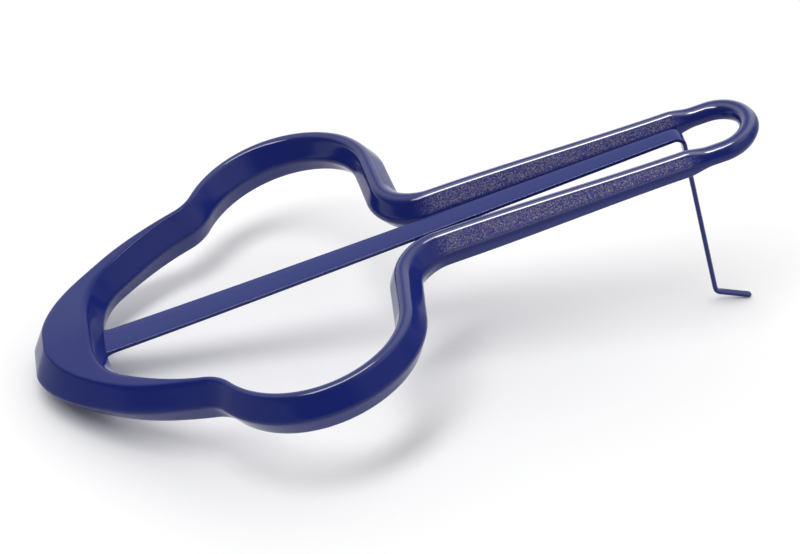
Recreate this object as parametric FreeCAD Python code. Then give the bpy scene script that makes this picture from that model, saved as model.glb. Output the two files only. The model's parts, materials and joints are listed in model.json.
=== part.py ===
import FreeCAD, Part
import math
import os

# A jaw harp as it stands on a table, on the underside of its head and on the foot of its trigger.
# Lengths are in millimetres and turns in degrees. The harp is drawn lying flat: X runs from the head
# to the eye, Y across the bow and Z through the bar, with the frame's mid plane at Z = 0 and the
# middle of the head's bar at the origin. The whole harp is tipped into its stance at the end.

# Centreline of the frame's bar: the radius and turn of each bend, from the nose round to the arms
nose_radius = 15.2
nose_turn = 52.8
cheek_radius = 36.8
cheek_turn = 19.0
waist_radius = 5.3
waist_turn = 41.4
lobe_radius = 13.2
lobe_turn = 100.1
shoulder_radius = 10.9
shoulder_turn = 44.3
neck_radius = 6.9
arm_length = 36.6

# Bar section, six-sided on its corner: width over the side ridges, height, and width of the flat on top
head_ridge_out = 5.7
head_ridge_in = 4.4
head_height = 7.2
head_facet = 6.2
cheek_width = 5.7
cheek_height = 6.1
cheek_facet = 1.9
waist_width = 3.8
waist_height = 6.6
waist_facet = 0.7
shoulder_width = 4.4
shoulder_height = 5.8
shoulder_facet = 1.3
neck_width = 4.3
neck_height = 5.2
neck_facet = 1.1
arm_end_width = 3.3
arm_end_height = 3.8
arm_end_facet = 0.85
edge_break = 0.22
largest_break_share = 0.45

# The eye: a turn of twelve-sided, nearly round bar, reached over a short stretch at the arms' ends
eye_bar = 2.4
eye_blend = 5.4

# The head is dressed with flats: on top and below, and on the nose, where two meet on the ridge
nose_end = 5.2
nose_bite = 0.4
head_dressing = 0.06

# The reed: a tapering strip of spring steel with its upper face on the frame's mid plane
reed_thickness = 0.55
reed_root_width = 4.64
reed_tip_width = 2.32
reed_seat = 4.6
reed_gap = 0.62
slot_clearance = 0.02
tip_setback = 3.9

# The reed bends like a hinge a little way out from the head, where it parts into root and tongue
flex_share = 0.15
flex_gap = 0.1
reed_lift = 1.85

# The trigger: the reed's tip turned down, drawn in to a wire, and turned out again as a small foot
tip_bend_radius = 1.0
trigger_lean = 4.6
trigger_width = 0.8
trigger_length = 25.0
taper_start = 2.2
taper_end = 5.2
foot_turn = 62.4
foot_bend_radius = 0.7
foot_length = 4.6
wire_round = 0.2

# Fineness of the loft: longest step along the bar, and largest turn in one step
loft_step = 5.0
loft_turn = 20.0
loft_degree = 2

UP = FreeCAD.Vector(0, 0, 1)
ACROSS = FreeCAD.Vector(0, 1, 0)
ORIGIN = FreeCAD.Vector(0, 0, 0)


class Route:
    """A plane line of straight runs and tangent arcs, walked from a start point and heading."""

    def __init__(self, start, heading):
        self.point = start
        self.heading = heading
        self.length = 0.0
        self.runs = []

    def direction(self, heading):
        return FreeCAD.Vector(math.cos(heading), math.sin(heading), 0)

    def straight(self, length):
        self.runs.append((self.length, length, self.point, self.heading, 0.0))
        self.point = self.point + self.direction(self.heading) * length
        self.length += length

    def bend(self, radius, turn_deg):
        """Turn left by a positive angle, right by a negative one."""
        turn = math.radians(turn_deg)
        length = radius * abs(turn)
        self.runs.append((self.length, length, self.point, self.heading, turn / length))
        self.point = self.at_run(self.runs[-1], length)[0]
        self.heading += turn
        self.length += length

    def at_run(self, run, walked):
        start, length, point, heading, curvature = run
        if curvature == 0:
            return point + self.direction(heading) * walked, heading
        radius = 1.0 / curvature
        centre = point + self.direction(heading + math.pi / 2) * radius
        now = heading + curvature * walked
        return centre - self.direction(now + math.pi / 2) * radius, now

    def stations(self):
        """Walked distance, point and heading at even steps along each run."""
        places = [(0.0, self.runs[0][2], self.runs[0][3])]
        for run in self.runs:
            start, length, point, heading, curvature = run
            turned = math.degrees(abs(curvature) * length)
            steps = math.ceil(max(length / loft_step, turned / loft_turn))
            for step in range(1, steps + 1):
                walked = length * step / steps
                places.append((start + walked,) + self.at_run(run, walked))
        return places


def reed_width_at(x):
    """Straight taper from the inner side of the head to the tip."""
    share = (x - head_ridge_in) / (tip_x - head_ridge_in)
    return reed_root_width + (reed_tip_width - reed_root_width) * share


# Walk the bow from the nose to the shoulder, where the reed passes between the arms
bar = Route(ORIGIN, math.pi / 2)
bar.bend(nose_radius, -nose_turn)
nose_mark = bar.length
bar.bend(cheek_radius, -cheek_turn)
cheek_mark = bar.length
bar.bend(waist_radius, waist_turn)
bar.bend(lobe_radius, -lobe_turn)
bar.bend(shoulder_radius, -shoulder_turn)
shoulder_mark = bar.length

# The arms stand clear of the reed, so the shoulder runs in as far as they need
neck_turn = -bar.heading
neck_reach = neck_radius * (1 - math.cos(neck_turn))
arm_offset = reed_root_width / 2 + reed_gap + neck_width / 2 - (reed_root_width - reed_tip_width) / 4
shoulder_run = (bar.point.y - arm_offset - neck_reach) / math.sin(neck_turn)
bar.straight(shoulder_run)
bar.bend(neck_radius, math.degrees(neck_turn))
neck_mark = bar.length
bar.straight(arm_length)
arm_mark = bar.length
eye_x = bar.point.x
bar.bend(arm_offset, -90)
tip_x = eye_x - tip_setback
flex_x = head_ridge_in + flex_share * (tip_x - head_ridge_in)
reed_mid = -reed_thickness / 2


def even_section(walked, width, height, facet):
    """Section values at a mark where both ridges stand out alike."""
    return (walked, width / 2, width / 2, height / 2, facet / 2, edge_break)


# Half the angle that one side of a regular six-sided section spans
half_side = math.pi / 6

# Section values at each mark: outer and inner ridge, half height, half facet and edge break
half_eye = eye_bar / 2
eye_ridge = half_eye / math.cos(half_side)
eye_break = eye_ridge * math.tan(half_side / 2)
raw_head = head_height / 2 + head_dressing
section_marks = [
    (0.0, head_ridge_out, head_ridge_in, raw_head, head_facet / 2, edge_break),
    even_section(nose_mark, cheek_width, cheek_height, cheek_facet),
    even_section(cheek_mark, waist_width, waist_height, waist_facet),
    even_section(shoulder_mark, shoulder_width, shoulder_height, shoulder_facet),
    even_section(neck_mark, neck_width, neck_height, neck_facet),
    even_section(arm_mark - eye_blend, arm_end_width, arm_end_height, arm_end_facet),
    (arm_mark, eye_ridge, eye_ridge, half_eye, eye_ridge / 2, eye_break),
]


def section_at(walked):
    """Section values at a distance along the bar, easing from one mark to the next."""
    for before, after in zip(section_marks, section_marks[1:]):
        if walked <= after[0]:
            share = (walked - before[0]) / (after[0] - before[0])
            eased = share * share * (3 - 2 * share)
            return [low + (high - low) * eased for low, high in zip(before[1:], after[1:])]
    return section_marks[-1][1:]


def broken_wire(corners, width):
    """Closed outline with each corner broken by the same width along both of its sides."""
    points = []
    for index, corner in enumerate(corners):
        for neighbour in (corners[index - 1], corners[(index + 1) % len(corners)]):
            side = neighbour - corner
            points.append(corner + side * min(width / side.Length, largest_break_share))
    return Part.makePolygon(points + points[:1])


def section_corners(walked, point, heading):
    """Corners of the six-sided section, square to the bar."""
    ridge_out, ridge_in, half_height, half_facet, _ = section_at(walked)
    outward = bar.direction(heading + math.pi / 2)
    outline = [
        (half_facet, half_height),
        (ridge_out, 0),
        (half_facet, -half_height),
        (-half_facet, -half_height),
        (-ridge_in, 0),
        (-half_facet, half_height),
    ]
    return [point + outward * across + UP * height for across, height in outline]


def make_head_envelope():
    """Space between the head's flats in side view, open towards the arms."""
    front = nose_bite - head_facet / 2
    back = eye_x + 2 * arm_offset
    half_height = head_height / 2
    outline = [
        (-nose_end, 0),
        (front, half_height),
        (back, half_height),
        (back, -half_height),
        (front, -half_height),
    ]
    reach = bar.length
    side = [FreeCAD.Vector(x, -reach, z) for x, z in outline]
    return Part.Face(Part.makePolygon(side + side[:1])).extrude(ACROSS * (2 * reach))


def make_frame():
    """Half of the bar lofted along its route, mirrored, dressed at the head and slotted for the reed."""
    wires = []
    for walked, point, heading in bar.stations():
        wires.append(broken_wire(section_corners(walked, point, heading), section_at(walked)[4]))
    half = Part.makeLoft(wires, True, False, False, loft_degree)
    whole = half.fuse(half.mirror(ORIGIN, ACROSS))
    slot_width = reed_root_width + 2 * slot_clearance
    slot_height = reed_thickness + 2 * slot_clearance
    slot = Part.makeBox(reed_seat + head_ridge_in, slot_width, slot_height)
    slot.translate(FreeCAD.Vector(head_ridge_in - reed_seat, -slot_width / 2, reed_mid - slot_height / 2))
    return whole.common(make_head_envelope()).cut(slot)


def strip(stations):
    """Flat strip through half-width stations along X, with its upper face on the mid plane."""
    near = [FreeCAD.Vector(x, -width / 2, -reed_thickness) for x, width in stations]
    far = [FreeCAD.Vector(x, width / 2, -reed_thickness) for x, width in reversed(stations)]
    outline = near + far
    face = Part.Face(Part.makePolygon(outline + outline[:1]))
    return face.extrude(UP * reed_thickness)


def make_reed_root():
    """The part of the reed that the head's slot holds, out to where the reed starts to flex."""
    end_x = flex_x - flex_gap / 2
    return strip([
        (head_ridge_in - reed_seat + slot_clearance, reed_root_width),
        (head_ridge_in, reed_root_width),
        (end_x, reed_width_at(end_x)),
    ])


def bend_start_x():
    """Where the tongue ends and the bend of the tip begins."""
    return tip_x - tip_bend_radius - reed_thickness


def make_reed_tongue():
    """The free strip between the arms, up to the bend of its tip."""
    start_x = flex_x + flex_gap / 2
    return strip([
        (start_x, reed_width_at(start_x)),
        (bend_start_x(), reed_tip_width),
    ])


def trigger_route():
    """Middle line of the trigger in its own side view: bend down, run down, bend out, foot."""
    route = Route(FreeCAD.Vector(bend_start_x(), reed_mid, 0), 0.0)
    route.bend(tip_bend_radius + reed_thickness / 2, -(90 + trigger_lean))
    route.straight(trigger_length)
    route.bend(foot_bend_radius + reed_thickness / 2, foot_turn)
    route.straight(foot_length)
    return route


def side_edges(route, offset):
    """The edges that run beside a route at an offset to its left."""
    edges = []
    for run in route.runs:
        length = run[1]
        points = []
        for walked in (0, length / 2, length):
            point, heading = route.at_run(run, walked)
            points.append(point + route.direction(heading + math.pi / 2) * offset)
        if run[4] == 0:
            edges.append(Part.LineSegment(points[0], points[2]).toShape())
        else:
            edges.append(Part.Arc(points[0], points[1], points[2]).toShape())
    return edges


def make_trigger():
    """The bent ribbon at its full width, trimmed to the front view of the tapering wire."""
    route = trigger_route()
    upper = side_edges(route, reed_thickness / 2)
    lower = side_edges(route, -reed_thickness / 2)
    ends = []
    for index, vertex in ((0, 0), (-1, 1)):
        above = upper[index].Vertexes[vertex].Point
        below = lower[index].Vertexes[vertex].Point
        ends.append(Part.LineSegment(above, below).toShape())
    outline = Part.Wire(Part.__sortEdges__(upper + lower + ends))
    ribbon = Part.Face(outline).extrude(UP * reed_tip_width)
    ribbon.translate(UP * (-reed_tip_width / 2))
    ribbon.rotate(ORIGIN, FreeCAD.Vector(1, 0, 0), 90)
    bottom = -(trigger_length + foot_length + taper_end)
    half_wire = trigger_width / 2
    half_tip = reed_tip_width / 2
    profile = [
        (half_tip, reed_thickness),
        (half_tip, -taper_start),
        (half_wire, -taper_end),
        (half_wire, bottom),
    ]
    front = [FreeCAD.Vector(0, y, z) for y, z in profile]
    front += [FreeCAD.Vector(0, -y, z) for y, z in reversed(profile)]
    depth = 2 * (foot_length + trigger_length)
    trimmer = Part.Face(Part.makePolygon(front + front[:1])).extrude(FreeCAD.Vector(depth, 0, 0))
    trimmer.translate(FreeCAD.Vector(tip_x - depth / 2, 0, 0))
    trigger = ribbon.common(trimmer)
    wire_edges = [edge for edge in trigger.Edges if edge.BoundBox.ZMax < -taper_end + reed_thickness]
    return trigger.makeFillet(wire_round, wire_edges)


def lift(shape):
    """Turn a moving piece up about the line where the reed flexes."""
    lifted = shape.copy()
    angle = math.degrees(math.asin(reed_lift / (tip_x - flex_x)))
    lifted.rotate(FreeCAD.Vector(flex_x, 0, reed_mid), ACROSS, -angle)
    return lifted


def lowest_corner_of_foot():
    """Centre and radius of the rounding at the lower edge of the foot's end."""
    route = trigger_route()
    along = route.direction(route.heading)
    below = route.direction(route.heading - math.pi / 2)
    inset = reed_thickness / 2 - wire_round
    centre = route.point - along * wire_round + below * inset
    mark = Part.Vertex(centre.x, 0, centre.y)
    return lift(mark).Point, wire_round


def stance_pitch():
    """Pitch that brings the lower edge of the nose and the foot down to one level."""
    head = FreeCAD.Vector(nose_bite - head_facet / 2, 0, -head_height / 2)
    foot, foot_radius = lowest_corner_of_foot()
    reach = foot - head
    rise = math.asin(foot_radius / reach.Length)
    return math.degrees(rise - math.atan2(reach.z, reach.x))


pieces = {
    "frame": make_frame(),
    "reed_root": make_reed_root(),
    "reed_tongue": lift(make_reed_tongue()),
    "trigger": lift(make_trigger()),
}

# Tip the harp into its stance and bring the middle of its base to the origin
pitch = stance_pitch()
for shape in pieces.values():
    shape.rotate(ORIGIN, ACROSS, -pitch)
box = Part.makeCompound(list(pieces.values())).optimalBoundingBox(False)
base = FreeCAD.Vector(-(box.XMin + box.XMax) / 2, -(box.YMin + box.YMax) / 2, -box.ZMin)
for shape in pieces.values():
    shape.translate(base)

os.makedirs("parts", exist_ok=True)
for name, shape in pieces.items():
    shape.exportStep("parts/" + name + ".step")
    print(name, "solids", len(shape.Solids), "volume", round(shape.Volume, 3), "valid", shape.isValid())

flex_line = Part.Vertex(flex_x, 0, reed_mid)
flex_line.rotate(ORIGIN, ACROSS, -pitch)
flex_line.translate(base)
print("pitch", round(pitch, 4), "base", [round(value, 4) for value in base])
print("flex line", [round(value, 4) for value in flex_line.Point], "arm offset", round(arm_offset, 3))
print("size", round(box.XLength, 3), round(box.YLength, 3), round(box.ZLength, 3))
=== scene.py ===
"""Dresses the jaw harp: one bent, painted bar and one sprung reed, on a pale studio floor."""

import json
import logging
import math
from dataclasses import astuple, dataclass, field
from enum import Enum, IntEnum

import bpy
import numpy as np
from mathutils import Matrix, Vector


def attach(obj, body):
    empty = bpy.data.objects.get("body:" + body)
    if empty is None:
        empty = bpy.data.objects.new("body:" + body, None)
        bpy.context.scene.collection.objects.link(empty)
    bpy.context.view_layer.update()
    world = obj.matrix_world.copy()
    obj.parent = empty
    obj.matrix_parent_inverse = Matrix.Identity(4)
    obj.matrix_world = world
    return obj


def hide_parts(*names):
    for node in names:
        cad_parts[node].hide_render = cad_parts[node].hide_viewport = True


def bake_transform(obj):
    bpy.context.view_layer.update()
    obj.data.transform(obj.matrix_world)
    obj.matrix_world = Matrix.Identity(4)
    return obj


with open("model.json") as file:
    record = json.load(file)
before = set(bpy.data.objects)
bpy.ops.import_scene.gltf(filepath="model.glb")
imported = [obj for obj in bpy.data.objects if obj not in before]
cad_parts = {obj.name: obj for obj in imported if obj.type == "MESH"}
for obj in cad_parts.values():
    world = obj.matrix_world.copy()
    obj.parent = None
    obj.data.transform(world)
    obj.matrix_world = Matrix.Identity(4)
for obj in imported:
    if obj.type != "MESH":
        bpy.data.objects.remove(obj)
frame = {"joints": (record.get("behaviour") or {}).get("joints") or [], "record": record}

LOG = logging.getLogger("jaw_harp")
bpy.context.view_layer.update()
MM = 0.001  # metres in a millimetre, the unit of the flat harp
JOIN_SLACK = 1e-9  # lets a point on a join count to the run that starts there
QUARTER_TURN = 90.0  # degrees
LARGEST_REACH = 0.48  # share of the shorter of its two sides that a rounding may take up

Pair = tuple[float, float]
Triple = tuple[float, float, float]


class Body(Enum):
    """The rigid bodies of the model; the dressed frame rides on the frame body."""

    FRAME = "frame"
    REED = "reed"


class Slot(Enum):
    """The record's material slots."""

    FRAME = "frame_paint"
    REED = "reed_paint"


class Mark(Enum):
    """The values from 0 to 1 that a mesh carries at its points for the paint."""

    ARM = "arm"
    EDGE = "edge"
    RIM = "rim"
    DULL = "dull"


class Side(IntEnum):
    """The six sides of the bar's section, in the order of its corners."""

    UPPER_OUTER = 0
    LOWER_OUTER = 1
    BOTTOM = 2
    LOWER_INNER = 3
    UPPER_INNER = 4
    TOP = 5


@dataclass(frozen=True)
class Run:
    """One straight or round stretch of a plane route, in millimetres and radians."""

    start: float
    length: float
    x: float
    y: float
    heading: float
    curvature: float


@dataclass
class Route:
    """A plane line of straight runs and tangent arcs, from a point with a heading in radians."""

    x: float
    y: float
    heading: float
    length: float = 0.0
    runs: list[Run] = field(default_factory=list)

    def straight(self, length: float) -> None:
        """Walk straight on."""
        self._add(length, 0.0)

    def bend(self, radius: float, turn_deg: float) -> None:
        """Turn left by a positive angle, right by a negative one."""
        turn = math.radians(turn_deg)
        self._add(radius * abs(turn), math.copysign(1.0 / radius, turn))

    def _add(self, length: float, curvature: float) -> None:
        """Append a run and move to its end.

        Args:
            length: Length of the run, in millimetres.
            curvature: One over its radius, positive to the left, or 0 for a straight run.
        """
        self.runs.append(Run(self.length, length, self.x, self.y, self.heading, curvature))
        self.length += length
        x, y, heading = self.at(np.array([self.length]))
        self.x, self.y, self.heading = float(x[0]), float(y[0]), float(heading[0])

    def at(self, walked: np.ndarray) -> tuple[np.ndarray, np.ndarray, np.ndarray]:
        """Points and headings at walked distances.

        Along an arc the heading grows by the curvature for each millimetre, and the point moves by
        the change of the heading's sine and cosine over the curvature.

        Args:
            walked: Distances from the start, in millimetres.

        Returns:
            X, Y and heading, each as long as the input.
        """
        x = np.zeros_like(walked)
        y = np.zeros_like(walked)
        heading = np.zeros_like(walked)
        for run in self.runs:
            here = walked >= run.start - JOIN_SLACK
            along = walked[here] - run.start
            turned = run.heading + run.curvature * along
            if run.curvature == 0.0:
                x[here] = run.x + along * math.cos(run.heading)
                y[here] = run.y + along * math.sin(run.heading)
            else:
                x[here] = run.x + (np.sin(turned) - math.sin(run.heading)) / run.curvature
                y[here] = run.y - (np.cos(turned) - math.cos(run.heading)) / run.curvature
            heading[here] = turned
        return x, y, heading


@dataclass(frozen=True)
class Stance:
    """How the flat harp is tipped, in radians, and set down on the floor, in millimetres."""

    pitch: float
    shift: Triple

    @staticmethod
    def from_record(flex_x: float, flex_z: float) -> "Stance":
        """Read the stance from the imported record.

        The pitch is the lean of the eye's axis, and the shift is what is left between the turned
        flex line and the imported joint.

        Args:
            flex_x: Where the reed flexes along the flat harp, in millimetres.
            flex_z: Height of the reed's middle there, in millimetres.

        Returns:
            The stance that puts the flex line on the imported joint.
        """
        eye = next(mount for mount in frame["record"]["mounts"] if mount["name"] == "eye")
        pitch = math.atan2(-eye["axis"][0], eye["axis"][2])
        at = np.array(frame["joints"][0]["pos_m"]) / MM
        turned_x = flex_x * math.cos(pitch) - flex_z * math.sin(pitch)
        turned_z = flex_x * math.sin(pitch) + flex_z * math.cos(pitch)
        return Stance(pitch, (at[0] - turned_x, at[1], at[2] - turned_z))

    def place(self, points: np.ndarray) -> np.ndarray:
        """Turn flat-harp points by the pitch, about the Y axis, and shift them.

        Args:
            points: Points of the flat harp in millimetres, with X, Y and Z last.

        Returns:
            Scene points in metres, shaped as the input.
        """
        cos, sin = math.cos(self.pitch), math.sin(self.pitch)
        placed = np.empty_like(points, dtype=float)
        placed[..., 0] = points[..., 0] * cos - points[..., 2] * sin + self.shift[0]
        placed[..., 1] = points[..., 1] + self.shift[1]
        placed[..., 2] = points[..., 0] * sin + points[..., 2] * cos + self.shift[2]
        return placed * MM

    def turn(self, vector: Triple) -> Vector:
        """Turn a flat-harp direction by the pitch, about the Y axis.

        Args:
            vector: A direction on the flat harp.

        Returns:
            The same direction in the scene.
        """
        cos, sin = math.cos(self.pitch), math.sin(self.pitch)
        x, y, z = vector
        return Vector((x * cos - z * sin, y, x * sin + z * cos))


def smoothstep(values: np.ndarray, low: float, high: float) -> np.ndarray:
    """Ease from 0 at low to 1 at high, as three squares less two cubes of the share between."""
    share = np.clip((values - low) / (high - low), 0.0, 1.0)
    return share * share * (3.0 - 2.0 * share)


def fade(walked: np.ndarray, mark: float, span: Pair) -> np.ndarray:
    """Ease from 0 to 1 over a span that is measured from a mark."""
    return smoothstep(walked, mark + span[0], mark + span[1])


def rounded_rings(
    corners: np.ndarray, radius: np.ndarray, arc_steps: int, side_steps: int
) -> tuple[np.ndarray, np.ndarray, np.ndarray]:
    """Closed outlines with rounded corners, one for each station.

    A corner's arc touches both of its sides at the radius over the tangent of half the corner's
    angle. Its points turn evenly from one touching point to the other, and the side that is left
    between two arcs is split evenly.

    Args:
        corners: Sharp corners, shaped (stations, corners, 2).
        radius: Rounding of each corner, shaped (stations, corners), smaller where a side is short.
        arc_steps: Steps along each arc.
        side_steps: Steps along each side.

    Returns:
        Ring points shaped (stations, points, 2); for each point how near it is to the middle of an
        edge, from 0 on a flat side to 1 on the arc's crown; and the side that it lies on or next to.
    """
    count = corners.shape[1]
    back = np.roll(corners, 1, axis=1) - corners
    ahead = np.roll(corners, -1, axis=1) - corners
    back_length = np.linalg.norm(back, axis=2, keepdims=True)
    ahead_length = np.linalg.norm(ahead, axis=2, keepdims=True)
    back = back / back_length
    ahead = ahead / ahead_length
    half = np.arccos(np.clip((back * ahead).sum(2, keepdims=True), -1.0, 1.0)) / 2.0
    longest = LARGEST_REACH * np.minimum(back_length, ahead_length)
    reach = np.minimum(radius[:, :, None] / np.tan(half), longest)
    fitted = reach * np.tan(half)
    inward = back + ahead
    inward = inward / np.linalg.norm(inward, axis=2, keepdims=True)
    centre = corners + inward * fitted / np.sin(half)
    touch_first = corners + back * reach
    touch_last = corners + ahead * reach
    first = (touch_first - centre) / fitted
    last = (touch_last - centre) / fitted
    angle = np.arccos(np.clip((first * last).sum(2, keepdims=True), -1.0, 1.0))[:, :, None]
    arc_step = np.arange(arc_steps + 1)
    share = (arc_step / arc_steps)[:, None]
    unit = np.sin((1 - share) * angle) * first[:, :, None] + np.sin(share * angle) * last[:, :, None]
    arcs = centre[:, :, None] + fitted[:, :, None] * unit / np.sin(angle)
    side_step = np.arange(1, side_steps)
    span = (np.roll(touch_first, -1, axis=1) - touch_last)[:, :, None]
    flats = touch_last[:, :, None] + span * side_step[:, None] / side_steps
    points = np.concatenate([arcs, flats], axis=2).reshape(len(corners), -1, 2)
    crowns = np.append(np.sin(math.pi * share), np.zeros(side_steps - 1))
    still_before = np.append(2 * arc_step < arc_steps, np.zeros(side_steps - 1, dtype=bool))
    sides = (np.arange(count)[:, None] - still_before).reshape(-1) % count
    return points, np.tile(crowns, count), sides


def grid_object(
    name: str, points: np.ndarray, loop: bool, marks: dict[Mark, np.ndarray]
) -> bpy.types.Object:
    """A mesh from rings of points, closed round each ring.

    The rings are joined in order by quads. A looped grid joins its last ring to its first, and an
    open one is closed at each end by a fan. The faces are turned so that the volume is positive.

    Args:
        name: Name of the object and of its mesh.
        points: Ring points in metres, shaped (rings, points, 3).
        loop: Whether the last ring joins the first.
        marks: Values for each point, shaped (rings, points).

    Returns:
        The object, linked to the scene at the origin.
    """
    rings, count = points.shape[:2]
    row = np.arange(rings if loop else rings - 1)[:, None]
    column = np.arange(count)
    next_row = (row + 1) % rings
    next_column = (column + 1) % count
    corners = [
        row * count + column,
        next_row * count + column,
        next_row * count + next_column,
        row * count + next_column,
    ]
    quads = np.stack(corners, axis=-1).reshape(-1, 4)
    fans = np.empty((0, 3), dtype=int)
    vertices = points.reshape(-1, 3)
    values = {mark: value.reshape(-1) for mark, value in marks.items()}
    if not loop:
        first_hub = len(vertices)
        vertices = np.vstack([vertices, points[0].mean(0), points[-1].mean(0)])
        values = {
            mark: np.append(value, [marks[mark][0].mean(), marks[mark][-1].mean()])
            for mark, value in values.items()
        }
        last_ring = (rings - 1) * count
        first_fan = np.stack([np.full(count, first_hub), next_column, column], axis=1)
        last_fan = np.stack(
            [np.full(count, first_hub + 1), last_ring + column, last_ring + next_column], axis=1
        )
        fans = np.vstack([first_fan, last_fan])
    triangles = np.vstack([quads[:, [0, 1, 2]], quads[:, [0, 2, 3]], fans])
    a, b, c = vertices[triangles.T]
    if np.einsum("ij,ij->", a, np.cross(b, c)) < 0:
        quads = quads[:, ::-1]
        fans = fans[:, ::-1]
    faces = quads.tolist() + fans.tolist()
    mesh = bpy.data.meshes.new(name)
    mesh.from_pydata(vertices.tolist(), [], faces)
    mesh.polygons.foreach_set("use_smooth", np.ones(len(faces), dtype=bool))
    for mark, value in values.items():
        layer = mesh.attributes.new(mark.value, "FLOAT", "POINT")
        layer.data.foreach_set("value", value.astype(np.float32))
    mesh.update()
    made = bpy.data.objects.new(name, mesh)
    bpy.context.scene.collection.objects.link(made)
    return made


@dataclass(frozen=True)
class Paint:
    """A thick gloss paint, laid over steel.

    The specular level is the gloss, less the dull loss where a mesh is marked dull, plus the rim
    gain where it is marked as a rim. The grain fades in as a side turns up, and is full where the
    height of its normal reaches the grain and glint slope. Its pale flecks are partly the grain's
    own tone and partly painted glints on sides turned up towards the light.
    """

    name: str
    colour: Triple
    thin_colour: Triple
    roughness: float
    peel: float
    grain_and_glint: float
    grain_and_glint_slope: float = 0.45
    grain_roughness: float = 0.25
    # Fleck colours: partly the grain's own tone, partly painted glints of light.
    cool_fleck_and_glint: Triple = (0.085, 0.08, 0.36)
    warm_fleck_and_glint: Triple = (0.3, 0.27, 0.28)
    gloss: float = 0.245
    dull_loss: float = 0.22
    rim_gain: float = 0.9
    ior: float = 1.5
    coat_ior: float = 1.88
    coat_roughness: float = 0.05


BAR_PAINT = Paint(
    name="navy_gloss",
    colour=(0.0104, 0.0196, 0.155),
    thin_colour=(0.0089, 0.0156, 0.133),
    roughness=0.13,
    peel=0.05,
    grain_and_glint=1.0,
)
# Painted light: the reed wears the frame's same navy, made a little lighter for its lit strip.
LIT_REED_PAINT = Paint(
    name="navy_gloss_reed_lit",
    colour=(0.0142, 0.0258, 0.171),
    thin_colour=(0.0089, 0.0156, 0.133),
    roughness=0.16,
    peel=0.03,
    grain_and_glint=0.0,
)


@dataclass(frozen=True)
class Noise:
    """A noise on the object's own coordinates: waves to a metre and how they break up."""

    scale: float
    detail: float = 2.0
    roughness: float = 0.5


@dataclass(frozen=True)
class Nodes:
    """Small helper that adds and links shader nodes in one tree."""

    tree: bpy.types.NodeTree
    MIX_FIRST = 6  # the colour sockets of a Mix node, which share their names with others
    MIX_SECOND = 7
    MIX_RESULT = 2

    def add(self, kind: str, inputs: dict | None = None, **settings: object) -> bpy.types.Node:
        """Add a node.

        Args:
            kind: Blender's name of the node type.
            inputs: Values or output sockets for its inputs, by name or index.
            settings: Properties to set on the node.

        Returns:
            The new node.
        """
        node = self.tree.nodes.new(kind)
        for key, value in settings.items():
            setattr(node, key, value)
        for key, value in (inputs or {}).items():
            if isinstance(value, bpy.types.NodeSocket):
                self.tree.links.new(value, node.inputs[key])
            else:
                node.inputs[key].default_value = value
        return node

    def number(self, operation: str, *values: object) -> bpy.types.NodeSocket:
        """Work out one number from sockets or plain values."""
        return self.add("ShaderNodeMath", dict(enumerate(values)), operation=operation).outputs[0]

    def mark(self, mark: Mark) -> bpy.types.NodeSocket:
        """Read a value that the mesh carries."""
        return self.add("ShaderNodeAttribute", attribute_name=mark.value).outputs["Fac"]

    def noise(self, place: bpy.types.NodeSocket, noise: Noise) -> bpy.types.NodeSocket:
        """Add a noise texture.

        Args:
            place: Socket of the coordinates.
            noise: The noise's values.

        Returns:
            The socket of its grey level.
        """
        inputs = {
            "Vector": place,
            "Scale": noise.scale,
            "Detail": noise.detail,
            "Roughness": noise.roughness,
        }
        return self.add("ShaderNodeTexNoise", inputs).outputs[0]

    def spread(
        self, value: bpy.types.NodeSocket, source: Pair, target: Pair, **settings: object
    ) -> bpy.types.NodeSocket:
        """Map a value from one range onto another, held at the ends.

        Args:
            value: Socket of the value.
            source: The range that it is read from.
            target: The range that it is carried to.
            settings: Properties to set on the node.

        Returns:
            The socket of the mapped value.
        """
        inputs = {
            "Value": value,
            "From Min": source[0],
            "From Max": source[1],
            "To Min": target[0],
            "To Max": target[1],
        }
        return self.add("ShaderNodeMapRange", inputs, **settings).outputs[0]

    def mix(self, share: bpy.types.NodeSocket, first: object, second: object) -> bpy.types.NodeSocket:
        """Mix two colours.

        Args:
            share: Socket of the share that the second colour has.
            first: A colour with alpha, or a socket.
            second: A colour with alpha, or a socket.

        Returns:
            The socket of the mixed colour.
        """
        inputs = {"Factor": share, self.MIX_FIRST: first, self.MIX_SECOND: second}
        return self.add("ShaderNodeMix", inputs, data_type="RGBA").outputs[self.MIX_RESULT]


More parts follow.
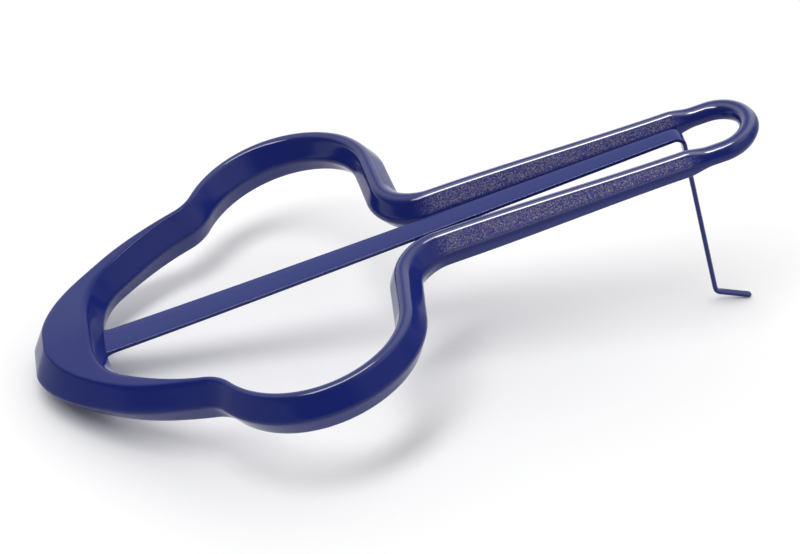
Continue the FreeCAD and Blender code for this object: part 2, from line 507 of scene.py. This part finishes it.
@dataclass(frozen=True)
class PaintSkin:
    """The skin of sprayed paint: a soft waviness, fine grain with flecks that are partly painted
    glints, and a slow drift.

    Depths are in metres.
    """

    wave: Noise = Noise(420.0)
    wave_depth: float = 0.0002
    grain_and_glint: Noise = Noise(5600.0, roughness=0.6)
    grain_depth: float = 0.0001
    speck_and_glint_range: Pair = (0.36, 0.64)
    speck_and_glint_levels: Pair = (0.05, 1.0)
    hue: Noise = Noise(4300.0)
    hue_range: Pair = (0.4, 0.6)
    hue_levels: Pair = (0.0, 1.0)
    drift: Noise = Noise(90.0, detail=3.0)

    def group(self) -> bpy.types.NodeTree:
        """Build the node group that the paints share.

        The wave's bump carries the grain's bump. A fleck, partly grain and partly a painted glint, is
        as strong as the grain is high there, and its hue follows a noise of its own.

        Returns:
            The group, which gives a normal and three masks.
        """
        group = bpy.data.node_groups.new("paint_skin", "ShaderNodeTree")
        for name in ("Strength", "Grain"):
            group.interface.new_socket(name, in_out="INPUT", socket_type="NodeSocketFloat")
        group.interface.new_socket("Normal", in_out="OUTPUT", socket_type="NodeSocketVector")
        for name in ("SpeckAndGlint", "Hue", "Drift"):
            group.interface.new_socket(name, in_out="OUTPUT", socket_type="NodeSocketFloat")
        nodes = Nodes(group)
        given = nodes.add("NodeGroupInput").outputs
        place = nodes.add("ShaderNodeTexCoord").outputs["Object"]
        waves = nodes.noise(place, self.wave)
        grain_and_glint_noise = nodes.noise(place, self.grain_and_glint)
        peel = {"Strength": given["Strength"], "Distance": self.wave_depth, "Height": waves}
        soft = nodes.add("ShaderNodeBump", peel).outputs[0]
        frost = {"Strength": given["Grain"], "Distance": self.grain_depth, "Height": grain_and_glint_noise, "Normal": soft}
        outputs = {
            "Normal": nodes.add("ShaderNodeBump", frost).outputs[0],
            # SpeckAndGlint: where the pale flecks lie, partly grain and partly painted glints.
            "SpeckAndGlint": nodes.spread(grain_and_glint_noise, self.speck_and_glint_range, self.speck_and_glint_levels),
            "Hue": nodes.spread(nodes.noise(place, self.hue), self.hue_range, self.hue_levels),
            "Drift": nodes.noise(place, self.drift),
        }
        nodes.add("NodeGroupOutput", outputs)
        return group


class PaintShop:
    """Makes the paint materials, which share one skin."""

    def __init__(self) -> None:
        """Make the shared group once."""
        self.skin = PaintSkin().group()

    def mix(self, paint: Paint) -> bpy.types.Material:
        """Build a paint material.

        The colour thins along the edges by the skin's drift, and flecks lie over it where the arms
        are grained. The flecks are partly the grain's tone and partly painted glints on upturned sides.
        The rims have a clear coat.

        Args:
            paint: The finish.

        Returns:
            The material.
        """
        material = bpy.data.materials.new(paint.name)
        material.use_nodes = True
        material.node_tree.nodes.clear()
        nodes = Nodes(material.node_tree)
        rim = nodes.mark(Mark.RIM)
        shine = nodes.number("MULTIPLY_ADD", nodes.mark(Mark.DULL), -paint.dull_loss, paint.gloss)
        normal = nodes.add("ShaderNodeNewGeometry").outputs["Normal"]
        height = nodes.add("ShaderNodeSeparateXYZ", {0: normal}).outputs["Z"]
        # Painted glints: the grain's flecks show only where a side turns up towards the light.
        upward = nodes.spread(height, (0.0, paint.grain_and_glint_slope), (0.0, 1.0))
        grain_and_glint_area = nodes.number("MULTIPLY", nodes.mark(Mark.ARM), upward)
        grain_and_glint = nodes.number("MULTIPLY", grain_and_glint_area, paint.grain_and_glint)
        given = {"Strength": paint.peel, "Grain": grain_and_glint}
        skin = nodes.add("ShaderNodeGroup", given, node_tree=self.skin).outputs
        thinned = nodes.number("MULTIPLY", nodes.mark(Mark.EDGE), skin["Drift"])
        body = nodes.mix(thinned, (*paint.colour, 1.0), (*paint.thin_colour, 1.0))
        # Pale flecks: partly the grain's own tone, partly painted glints.
        fleck_and_glint = nodes.mix(skin["Hue"], (*paint.cool_fleck_and_glint, 1.0), (*paint.warm_fleck_and_glint, 1.0))
        fleck_and_glint_share = nodes.number("MULTIPLY", skin["SpeckAndGlint"], grain_and_glint)
        shader = nodes.add(
            "ShaderNodeBsdfPrincipled",
            {
                "Base Color": nodes.mix(fleck_and_glint_share, body, fleck_and_glint),
                "Roughness": nodes.number("MULTIPLY_ADD", grain_and_glint, paint.grain_roughness, paint.roughness),
                "Normal": skin["Normal"],
                "IOR": paint.ior,
                "Specular IOR Level": nodes.number("MULTIPLY_ADD", rim, paint.rim_gain, shine),
                "Coat Weight": rim,
                "Coat IOR": paint.coat_ior,
                "Coat Roughness": paint.coat_roughness,
            },
        )
        nodes.add("ShaderNodeOutputMaterial", {"Surface": shader.outputs[0]})
        return material


@dataclass(frozen=True)
class ReedBlank:
    """The flat reed before it is bent, and the gap that the arms leave beside it, in millimetres."""

    thickness: float = 0.55
    root_width: float = 4.64
    tip_width: float = 2.32
    gap: float = 0.62

    def arm_offset(self, bar_width: float) -> float:
        """Distance from the harp's middle to an arm's: half a reed midway, the gap and half a bar."""
        taper = (self.root_width - self.tip_width) / 4
        return self.root_width / 2 + self.gap + bar_width / 2 - taper


@dataclass(frozen=True)
class Section:
    """A six-sided section of the bar and its roundings, in millimetres.

    The ridges reach out of the bow and into it from the route. Height and facet are half of the
    section's height and half of the width of the flat on its top.
    """

    out: float
    inner: float
    height: float
    facet: float
    facet_round: float
    ridge_round: float


def even_section(whole: Triple, rounds: Pair) -> Section:
    """A section with equal ridges, from its width, height and facet and its two roundings."""
    width, height, facet = whole
    return Section(width / 2, width / 2, height / 2, facet / 2, *rounds)


@dataclass(frozen=True)
class BarFinish:
    """Where the bar's paint is grained, with flecks that are partly painted glints, bright or dull.

    Each span runs from its first to its last value in millimetres along the bar, from the end of
    the cheek, the start of an arm or the end of an arm, as its name says. The least rim height is
    in millimetres above the middle of the bar.
    """

    grain_and_glint_in_from_arm_start: Pair = (-2.0, 1.5)
    grain_and_glint_out_from_arm_end: Pair = (-6.0, -2.5)
    lobe_gloss: float = 0.3
    lobe_gloss_from_cheek_end: Pair = (0.0, 10.0)
    arm_gloss: float = 0.7
    arm_gloss_from_arm_start: Pair = (-1.2, 0.8)
    eye_loss: float = 0.45
    eye_loss_from_arm_end: Pair = (-3.0, 2.0)
    least_rim_height: float = 0.5
    head_edge_loss: float = 0.5
    lower_dull: float = 0.4
    lower_arm_dull: float = 0.5
    lower_arm_dull_from_arm_start: Pair = (-3.0, 0.0)
    outer_dull: float = 0.6
    outer_dull_ends_from_arm_start: Pair = (-9.0, -3.0)


@dataclass
class FrameBar:
    """The bow, arms and eye: one bar on a bent route, six-sided on its corner.

    Sizes are in millimetres and degrees. They are the solids', apart from the neck, the arms'
    facets, the eye's bar and the soft edges, which the thick paint fills and rounds. A section is
    its width, height and facet, and a pair of roundings is for the facets' edges and the ridges.
    """

    blank: ReedBlank
    nose_radius: float = 15.2
    nose_turn: float = 52.8
    cheek_radius: float = 36.8
    cheek_turn: float = 19.0
    waist_radius: float = 5.3
    waist_turn: float = 41.4
    lobe_radius: float = 13.2
    lobe_turn: float = 100.1
    shoulder_radius: float = 10.9
    shoulder_turn: float = 44.3
    neck_radius: float = 5.8
    arm_length: float = 37.6
    head_ridge_out: float = 5.7
    head_ridge_in: float = 4.4
    head_height: float = 7.2
    head_facet: float = 6.2
    cheek: Triple = (5.7, 6.1, 1.9)
    waist: Triple = (3.8, 6.6, 0.7)
    shoulder: Triple = (4.4, 5.8, 1.3)
    neck_bend: Triple = (4.8, 5.4, 1.5)
    neck: Triple = (4.3, 5.2, 1.15)
    arm_end: Triple = (3.3, 3.8, 1.1)
    eye_bar: float = 2.5
    head_round: Pair = (0.6, 0.5)
    head_inner_round: float = 1.1
    bow_round: Pair = (0.5, 0.7)
    shoulder_round: Pair = (1.5, 0.9)
    neck_round: Pair = (1.7, 1.2)
    arm_round: Pair = (0.85, 1.5)
    eye_round: Pair = (0.95, 0.95)
    neck_soft: float = 3.6
    arm_crisp: float = 1.5
    arm_stop: float = 5.0
    eye_start: float = 1.7
    nose_end: float = 5.2
    nose_bite: float = 0.4
    nose_softness: float = 0.12
    ridge_softness: float = 0.3
    step: float = 0.4
    arc_steps: int = 6
    side_steps: int = 5
    paint: Paint = BAR_PAINT
    finish: BarFinish = BarFinish()
    route: Route = field(init=False)
    cheek_mark: float = field(init=False)
    neck_mark: float = field(init=False)
    arm_mark: float = field(init=False)
    eye_x: float = field(init=False)
    marks: list[tuple[float, Section]] = field(init=False)

    def __post_init__(self) -> None:
        """Walk half of the route, from the nose to the eye, and note the section at each mark.

        The straight before the neck covers what the neck's bend leaves of the way in to the arm's
        offset from the harp's middle.
        """
        route = Route(0.0, 0.0, math.pi / 2)
        route.bend(self.nose_radius, -self.nose_turn)
        nose_mark = route.length
        route.bend(self.cheek_radius, -self.cheek_turn)
        self.cheek_mark = route.length
        route.bend(self.waist_radius, self.waist_turn)
        route.bend(self.lobe_radius, -self.lobe_turn)
        route.bend(self.shoulder_radius, -self.shoulder_turn)
        shoulder_mark = route.length
        turn = -route.heading
        offset = self.blank.arm_offset(self.neck[0])
        drop = route.y - offset - self.neck_radius * (1 - math.cos(turn))
        route.straight(drop / math.sin(turn))
        route.bend(self.neck_radius, math.degrees(turn))
        self.neck_mark = route.length
        route.straight(self.arm_length)
        self.arm_mark = route.length
        self.eye_x = route.x
        route.bend(offset, -QUARTER_TURN)
        self.route = route
        self.marks = [
            (0.0, self._head()),
            (nose_mark, even_section(self.cheek, self.bow_round)),
            (self.cheek_mark, even_section(self.waist, self.bow_round)),
            (shoulder_mark, even_section(self.shoulder, self.shoulder_round)),
            (self.neck_mark - self.neck_soft, even_section(self.neck_bend, self.neck_round)),
            (self.neck_mark + self.arm_crisp, even_section(self.neck, self.arm_round)),
            (self.arm_mark - self.arm_stop, even_section(self.arm_end, self.arm_round)),
            (self.arm_mark - self.eye_start, self._eye()),
        ]

    def _head(self) -> Section:
        """The broad section in the middle of the head, whose outer ridge is the longer one."""
        half = (self.head_height / 2, self.head_facet / 2)
        return Section(self.head_ridge_out, self.head_ridge_in, *half, *self.head_round)

    def _eye(self) -> Section:
        """A regular hexagon round the eye's bar, nearly round once its corners are."""
        ridge = self.eye_bar / 2 / math.cos(math.pi / 6)
        return Section(ridge, ridge, self.eye_bar / 2, ridge / 2, *self.eye_round)

    def sections(self, walked: np.ndarray) -> np.ndarray:
        """Section values along the bar, easing from one mark to the next.

        Args:
            walked: Distances along the route, in millimetres.

        Returns:
            One row of values for each distance, in the order of Section's fields.
        """
        values = np.tile(np.array(astuple(self.marks[0][1])), (len(walked), 1))
        for (low, before), (high, after) in zip(self.marks, self.marks[1:]):
            old, new = np.array(astuple(before)), np.array(astuple(after))
            share = smoothstep(walked, low, high)[:, None]
            here = walked >= low
            values[here] = (old + (new - old) * share)[here]
        return values

    @staticmethod
    def both_halves(values: np.ndarray) -> np.ndarray:
        """Carry values along one half of the bar back along the other."""
        return np.concatenate([values, values[-2:0:-1]])

    def blunt(self, flat: np.ndarray) -> np.ndarray:
        """Press the nose onto its two flats, with soft edges.

        The flats meet in a line at half height, and a point past them moves back to them. The root
        of a square plus a small square stands in for the sharp turns.

        Args:
            flat: Points of the bar on the flat harp, in millimetres.

        Returns:
            The pressed points.
        """
        slope = (self.nose_end + self.nose_bite - self.head_facet / 2) / (self.head_height / 2)
        height = np.sqrt(flat[..., 2] ** 2 + self.ridge_softness**2) - self.ridge_softness
        limit = -self.nose_end + slope * height
        past = flat[..., 0] - limit
        pressed = flat.copy()
        pressed[..., 0] = limit + (past + np.sqrt(past**2 + self.nose_softness**2)) / 2
        return pressed

    def head_share(self, walked: np.ndarray) -> np.ndarray:
        """How far a place belongs to the head, from 1 at the nose to 0 at the end of the cheek."""
        return 1.0 - smoothstep(walked, 0.0, self.cheek_mark)

    def sweep(self, walked: np.ndarray) -> tuple[np.ndarray, np.ndarray, np.ndarray]:
        """Carry the rounded section along half of the route, square to it.

        Args:
            walked: Distances along the route, in millimetres.

        Returns:
            Points of the half bar on the flat harp, and rounded_rings' crowns and sides.
        """
        x, y, heading = self.route.at(walked)
        out, inner, height, facet, facet_round, ridge_round = self.sections(walked).T
        zero = np.zeros_like(out)
        across = np.stack([facet, out, facet, -facet, -inner, -facet], axis=1)
        up = np.stack([height, zero, -height, -height, zero, height], axis=1)
        inner_round = facet_round + (self.head_inner_round - facet_round) * self.head_share(walked)
        roundings = [facet_round, ridge_round, facet_round, facet_round, ridge_round, inner_round]
        corners = np.stack([across, up], axis=2)
        radius = np.stack(roundings, axis=1)
        rings, crowns, sides = rounded_rings(corners, radius, self.arc_steps, self.side_steps)
        flat = np.empty(rings.shape[:2] + (3,))
        flat[..., 0] = x[:, None] - np.sin(heading)[:, None] * rings[..., 0]
        flat[..., 1] = y[:, None] + np.cos(heading)[:, None] * rings[..., 0]
        flat[..., 2] = rings[..., 1]
        return self.blunt(flat), crowns, sides

    def _on_sides(self, along: np.ndarray, sides: np.ndarray, chosen: list[Side]) -> np.ndarray:
        """Values along half of the bar, put on chosen sides of the whole and 0 on the others."""
        return self.both_halves(along)[:, None] * np.isin(sides, chosen)

    def paint_marks(
        self, walked: np.ndarray, crowns: np.ndarray, sides: np.ndarray, up: np.ndarray
    ) -> dict[Mark, np.ndarray]:
        """Where the paint is grained, with flecks that are partly painted glints, worn at edges, bright
        along rims or dull.

        Each value is a fade along the bar times how flat or how near an edge a point is. Where two
        sorts of dullness meet, the stronger one holds.

        Args:
            walked: Distances along half of the route, in millimetres.
            crowns: How near each point of a ring is to the middle of an edge.
            sides: The side that each point of a ring lies on.
            up: Heights of the whole bar's points on the flat harp, in millimetres.

        Returns:
            The marks of the whole bar.
        """
        look = self.finish
        slanted = [Side.UPPER_OUTER, Side.LOWER_OUTER, Side.LOWER_INNER, Side.UPPER_INNER]
        flatness = 1.0 - crowns
        grain_and_glint = fade(walked, self.neck_mark, look.grain_and_glint_in_from_arm_start)
        grain_and_glint = grain_and_glint * (1.0 - fade(walked, self.arm_mark, look.grain_and_glint_out_from_arm_end))
        bright = look.lobe_gloss * fade(walked, self.cheek_mark, look.lobe_gloss_from_cheek_end)
        bright = bright + look.arm_gloss * fade(walked, self.neck_mark, look.arm_gloss_from_arm_start)
        bright = bright * (1.0 - look.eye_loss * fade(walked, self.arm_mark, look.eye_loss_from_arm_end))
        edge = np.ones(len(up))[:, None] * crowns
        head = self._on_sides(self.head_share(walked), sides, [Side.LOWER_INNER, Side.UPPER_INNER])
        arm = fade(walked, self.neck_mark, look.lower_arm_dull_from_arm_start)
        lower = look.lower_dull + look.lower_arm_dull * arm
        lower = self._on_sides(lower, sides, [Side.LOWER_OUTER, Side.LOWER_INNER])
        bow = 1.0 - fade(walked, self.neck_mark, look.outer_dull_ends_from_arm_start)
        outer = self._on_sides(look.outer_dull * bow, sides, [Side.UPPER_OUTER])
        dull = np.maximum(head * (1.0 - look.head_edge_loss * crowns), lower * flatness)
        return {
            # The arm mark also places the painted glints among the grain's flecks.
            Mark.ARM: self._on_sides(grain_and_glint, sides, slanted) * flatness,
            Mark.EDGE: edge,
            Mark.RIM: self.both_halves(bright)[:, None] * edge * (up > look.least_rim_height),
            Mark.DULL: np.maximum(dull, outer * flatness),
        }

    def build(self, stance: Stance, shop: PaintShop) -> bpy.types.Object:
        """Sweep half of the bar, mirror it across the harp's middle, and paint it.

        Args:
            stance: How the flat harp stands.
            shop: Where the paint is mixed.

        Returns:
            The dressed frame, riding on the frame body.
        """
        count = int(self.route.length / self.step)
        walked = np.linspace(0.0, self.route.length, count + 1)
        half, crowns, sides = self.sweep(walked)
        whole = self.both_halves(half)
        whole[len(half) :, :, 1] *= -1.0
        marks = self.paint_marks(walked, crowns, sides, whole[..., 2])
        made = grid_object("harp_frame", stance.place(whole), True, marks)
        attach(made, Body.FRAME.value)
        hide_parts("frame")
        made.data.materials.append(shop.mix(self.paint))
        return made


@dataclass
class ReedStrip:
    """The reed: a tapering strip, turned down at its tip into the trigger and its foot.

    Sizes are in millimetres and degrees. The tip's setback is measured from the end of the arms,
    and the flex share is the share of the free reed that lies before the line where it flexes. The
    taper's start and end are depths below the top of the flat reed.
    """

    blank: ReedBlank
    head_edge: float
    eye_x: float
    seat: float = 4.6
    seat_play: float = 0.3
    tip_setback: float = 3.9
    tip_lift: float = 1.85
    flex_share: float = 0.15
    tip_bend_radius: float = 1.0
    trigger_lean: float = 4.6
    trigger_width: float = 0.8
    trigger_length: float = 25.0
    taper_start: float = 2.2
    taper_end: float = 5.2
    taper_ease: float = 0.6
    foot_turn: float = 62.4
    foot_bend_radius: float = 0.7
    foot_length: float = 4.6
    strip_round: float = 0.14
    wire_round: float = 0.2
    round_share: float = 0.45
    root_flare: float = 0.3
    root_flare_reach: float = 0.3
    wire_paint: float = 0.07
    dome_share: float = 0.7
    least_dome: float = 0.02
    edge_gloss: float = 0.35
    step: float = 0.25
    arc_steps: int = 5
    side_steps: int = 3
    paint: Paint = LIT_REED_PAINT
    free: float = field(init=False)
    flex_x: float = field(init=False)
    middle: float = field(init=False)
    bend_x: float = field(init=False)
    route: Route = field(init=False)

    def __post_init__(self) -> None:
        """Note where the reed flexes and bends, and walk its middle line before it is lifted."""
        thickness = self.blank.thickness
        tip_x = self.eye_x - self.tip_setback
        self.free = tip_x - self.head_edge
        self.flex_x = self.head_edge + self.flex_share * self.free
        self.middle = -thickness / 2
        self.bend_x = tip_x - self.tip_bend_radius - thickness
        start = self.head_edge - self.seat + self.seat_play
        self.route = Route(start, self.middle, 0.0)
        self.route.straight(self.bend_x - start)
        self.route.bend(self.tip_bend_radius + thickness / 2, -(QUARTER_TURN + self.trigger_lean))
        self.route.straight(self.trigger_length)
        self.route.bend(self.foot_bend_radius + thickness / 2, self.foot_turn)
        self.route.straight(self.foot_length)

    def lift(self, x: np.ndarray) -> tuple[np.ndarray, np.ndarray]:
        """Bend the reed up near its root and leave the rest straight.

        The slope grows as one less a dying exponential of the share of the free reed that is
        passed, and the rise is its sum, scaled to the lift at the tip.

        Args:
            x: Places along the flat harp, in millimetres.

        Returns:
            The rise of the reed's middle line and its slope at each place.
        """
        bend = self.flex_share
        share = np.clip((x - self.head_edge) / self.free, 0.0, 1.0)
        dying = np.exp(-share / bend)
        scale = self.tip_lift / (1.0 - bend * (1.0 - math.exp(-1.0 / bend)))
        rise = scale * (share - bend * (1.0 - dying))
        slope = scale * (1.0 - dying) / self.free
        return rise, slope

    def on_tongue(self, walked: np.ndarray) -> np.ndarray:
        """Whether each walked distance lies before the tip's bend."""
        return walked <= self.route.runs[0].length

    def middle_line(self, walked: np.ndarray) -> tuple[np.ndarray, np.ndarray, np.ndarray]:
        """The lifted middle line in side view.

        The tongue rises by its lift. All past it is turned by the tongue's last slope, about the
        start of the tip's bend, and raised by its last rise.

        Args:
            walked: Distances along the reed, in millimetres.

        Returns:
            X, Z and angle of the line at each distance.
        """
        x, z, heading = self.route.at(walked)
        tongue = self.on_tongue(walked)
        rise, slope = self.lift(np.minimum(x, self.bend_x))
        last = int(np.flatnonzero(tongue)[-1])
        turn = float(slope[last])
        cos, sin = math.cos(turn), math.sin(turn)
        ahead = x - self.bend_x
        above = z - self.middle
        tail_x = self.bend_x + ahead * cos - above * sin
        tail_z = self.middle + float(rise[last]) + ahead * sin + above * cos
        line_x = np.where(tongue, x, tail_x)
        line_z = np.where(tongue, z + rise, tail_z)
        return line_x, line_z, np.where(tongue, slope, heading + turn)

    def girth(self, walked: np.ndarray) -> tuple[np.ndarray, np.ndarray, np.ndarray]:
        """Width, thickness and rounding along the reed.

        The tongue tapers evenly from root to tip, and the trigger eases from the tip's width to
        its wire's. Paint flares out where the reed leaves the head, as a dying exponential, and
        the foot's end is a quarter round.

        Args:
            walked: Distances along the reed, in millimetres.

        Returns:
            Width, thickness and rounding at each distance, in millimetres.
        """
        blank = self.blank
        x, z, _ = self.route.at(walked)
        tongue = self.on_tongue(walked)
        passed = x - self.head_edge
        taper = np.clip(passed / self.free, 0.0, 1.0)
        strip = blank.root_width + (blank.tip_width - blank.root_width) * taper
        below = np.where(tongue, 0.0, np.maximum(-z, 0.0))
        drawn = smoothstep(below, self.taper_start - self.taper_ease, self.taper_end + self.taper_ease)
        wire = blank.tip_width + (self.trigger_width - blank.tip_width) * drawn
        flare = self.root_flare * np.exp(-np.clip(passed, 0.0, None) / self.root_flare_reach)
        flare = np.where(tongue, flare, 0.0)
        left = np.clip((self.route.length - walked) / (blank.thickness * self.dome_share), 0.0, 1.0)
        dome = np.sqrt(np.maximum(1.0 - (1.0 - left) ** 2, self.least_dome))
        width = (np.where(tongue, strip, wire) + flare) * dome
        thick = (blank.thickness + self.wire_paint * drawn + flare) * dome
        rounding = self.strip_round + (self.wire_round - self.strip_round) * drawn
        return width, thick, np.minimum(rounding, self.round_share * thick)

    def build(self, stance: Stance, shop: PaintShop) -> bpy.types.Object:
        """Carry the strip's rounded section along its middle line, square to it, and paint it.

        It also works out where a span from the head's edge to as far past the flex line starts and ends,
        and uses neither.

        Args:
            stance: How the flat harp stands.
            shop: Where the paint is mixed.

        Returns:
            The dressed reed.
        """
        count = int(self.route.length / self.step)
        walked = np.linspace(0.0, self.route.length, count + 1)
        line_x, line_z, angle = self.middle_line(walked)
        width, thick, rounding = self.girth(walked)
        across = np.stack([width, width, -width, -width], axis=1) / 2
        up = np.stack([thick, -thick, -thick, thick], axis=1) / 2
        corners = np.stack([across, up], axis=2)
        radius = np.tile(rounding[:, None], corners.shape[1])
        rings, crowns, _ = rounded_rings(corners, radius, self.arc_steps, self.side_steps)
        flat = np.empty(rings.shape[:2] + (3,))
        flat[..., 0] = line_x[:, None] - np.sin(angle)[:, None] * rings[..., 1]
        flat[..., 1] = rings[..., 0]
        flat[..., 2] = line_z[:, None] + np.cos(angle)[:, None] * rings[..., 1]
        edge = np.ones(len(flat))[:, None] * crowns
        plain = np.zeros_like(edge)
        rim = self.edge_gloss * edge * (rings[..., 1] > 0.0)
        marks = {Mark.ARM: plain, Mark.EDGE: edge, Mark.RIM: rim, Mark.DULL: plain}
        made = grid_object("harp_reed", stance.place(flat), False, marks)
        spread = self.flex_x - self.head_edge
        bend_start = [self.flex_x - spread, 0.0, self.middle]
        bend_end = [self.flex_x + spread, 0.0, self.middle]
        start, end = stance.place(np.array([bend_start, bend_end]))
        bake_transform(made)
        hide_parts("reed_root", "reed_tongue", "trigger")
        made.data.materials.append(shop.mix(self.paint))
        return made


@dataclass
class Studio:
    """Floor, lights and camera, placed from the photo's view.

    The focal length, image width and principal drop are in pixels and the sensor in millimetres.
    The camera's place, in millimetres, and its directions are on the flat harp. The rest is in
    metres and watts in the scene. The sky's lean is how much each axis counts to its brightness.
    """

    focal_px: float = 2734.81
    image_width: float = 800.0
    principal_drop: float = 1.54
    sensor: float = 36.0
    clip: Pair = (0.01, 20.0)
    eye_point: Triple = (60.2895, -279.8805, 213.1169)
    right: Triple = (0.944512, -0.164277, -0.284446)
    down: Triple = (-0.324861, -0.595291, -0.734911)
    floor_half: float = 3.0
    floor_level: float = -0.00002
    floor_colour: Triple = (0.955, 0.955, 0.955)
    floor_roughness: float = 0.7
    softbox_spot: Triple = (-0.14, -0.11, 0.6)
    softbox_size: Pair = (0.16, 0.5)
    softbox_watts: float = 1.8
    softbox_aim: Triple = (0.0, 0.0, 0.01)
    sky_lean: Triple = (0.2, 0.8, 0.6)
    sky_range: Pair = (0.05, 0.85)
    sky_levels: Pair = (0.1, 1.18)
    card_facing: Triple = (0.6744, -0.619, 0.4026)
    card_range: Pair = (0.8, 0.97)
    card_levels: Pair = (0.0, 0.85)

    def camera(self, stance: Stance) -> None:
        """Put the camera where the photo was taken from.

        Args:
            stance: How the flat harp stands.
        """
        data = bpy.data.cameras.new("photo_view")
        data.sensor_width = self.sensor
        data.lens = self.sensor * self.focal_px / self.image_width
        data.shift_y = self.principal_drop / self.image_width
        data.clip_start, data.clip_end = self.clip
        made = bpy.data.objects.new("photo_view", data)
        bpy.context.scene.collection.objects.link(made)
        right = stance.turn(self.right).normalized()
        up = -stance.turn(self.down).normalized()
        up = (up - right * up.dot(right)).normalized()
        back = right.cross(up)
        turn = Matrix((right, up, back)).transposed().to_4x4()
        spot = stance.place(np.array([self.eye_point]))[0]
        made.matrix_world = Matrix.Translation(Vector(spot)) @ turn
        bpy.context.scene.camera = made

    def floor(self) -> None:
        """Lay a pale floor just under the harp."""
        half = self.floor_half
        plan = ((-half, -half), (half, -half), (half, half), (-half, half))
        mesh = bpy.data.meshes.new("studio_floor")
        mesh.from_pydata([(x, y, self.floor_level) for x, y in plan], [], [(0, 1, 2, 3)])
        made = bpy.data.objects.new("studio_floor", mesh)
        bpy.context.scene.collection.objects.link(made)
        material = bpy.data.materials.new("pale_floor")
        material.use_nodes = True
        shader = material.node_tree.nodes["Principled BSDF"]
        shader.inputs["Base Color"].default_value = (*self.floor_colour, 1.0)
        shader.inputs["Roughness"].default_value = self.floor_roughness
        mesh.materials.append(material)

    def softbox(self) -> None:
        """Hang a soft light above the head and the near side, facing the harp."""
        data = bpy.data.lights.new("top_softbox", "AREA")
        data.shape = "RECTANGLE"
        data.size, data.size_y = self.softbox_size
        data.energy = self.softbox_watts
        made = bpy.data.objects.new("top_softbox", data)
        bpy.context.scene.collection.objects.link(made)
        made.location = self.softbox_spot
        aim = Vector(self.softbox_aim) - Vector(self.softbox_spot)
        made.rotation_mode = "QUATERNION"
        made.rotation_quaternion = aim.to_track_quat("-Z", "Y")

    def sky(self) -> None:
        """Surround the harp with a plain studio: bright above and behind, dim towards the viewer.

        The level rises with the direction's axes, weighted by the lean. A pale card on the near
        right adds to it, as the dot product of a direction with the card's own.
        """
        world = bpy.data.worlds.new("studio_sky")
        bpy.context.scene.world = world
        world.use_nodes = True
        world.node_tree.nodes.clear()
        nodes = Nodes(world.node_tree)
        place = nodes.add("ShaderNodeTexCoord").outputs["Generated"]
        axes = nodes.add("ShaderNodeSeparateXYZ", {0: place}).outputs
        side = nodes.number("MULTIPLY", axes["X"], self.sky_lean[0])
        height = nodes.number("MULTIPLY_ADD", axes["Z"], self.sky_lean[2], side)
        lean = nodes.number("MULTIPLY_ADD", axes["Y"], self.sky_lean[1], height)
        level = nodes.spread(lean, self.sky_range, self.sky_levels)
        facing = nodes.add("ShaderNodeVectorMath", {0: place, 1: self.card_facing}, operation="DOT_PRODUCT")
        near = facing.outputs["Value"]
        card = nodes.spread(near, self.card_range, self.card_levels, interpolation_type="SMOOTHSTEP")
        total = nodes.number("ADD", level, card)
        shade = nodes.add("ShaderNodeBackground", {"Color": (1.0, 1.0, 1.0, 1.0), "Strength": total})
        nodes.add("ShaderNodeOutputWorld", {"Surface": shade.outputs[0]})

    def build(self, stance: Stance) -> None:
        """Set up everything that isn't the harp.

        Args:
            stance: How the flat harp stands.
        """
        self.camera(stance)
        self.floor()
        self.softbox()
        self.sky()
        bpy.context.scene.view_settings.view_transform = "Standard"


def main() -> None:
    """Build the harp and its studio in order."""
    logging.basicConfig(level=logging.INFO, format="%(message)s")
    blank = ReedBlank()
    bar = FrameBar(blank)
    reed = ReedStrip(blank, bar.head_ridge_in, bar.eye_x)
    stance = Stance.from_record(reed.flex_x, reed.middle)
    shop = PaintShop()
    for assembly in (bar, reed):
        piece = assembly.build(stance, shop)
        LOG.info("%s: %d faces", piece.name, len(piece.data.polygons))
    Studio().build(stance)


if __name__ == "__main__":
    main()
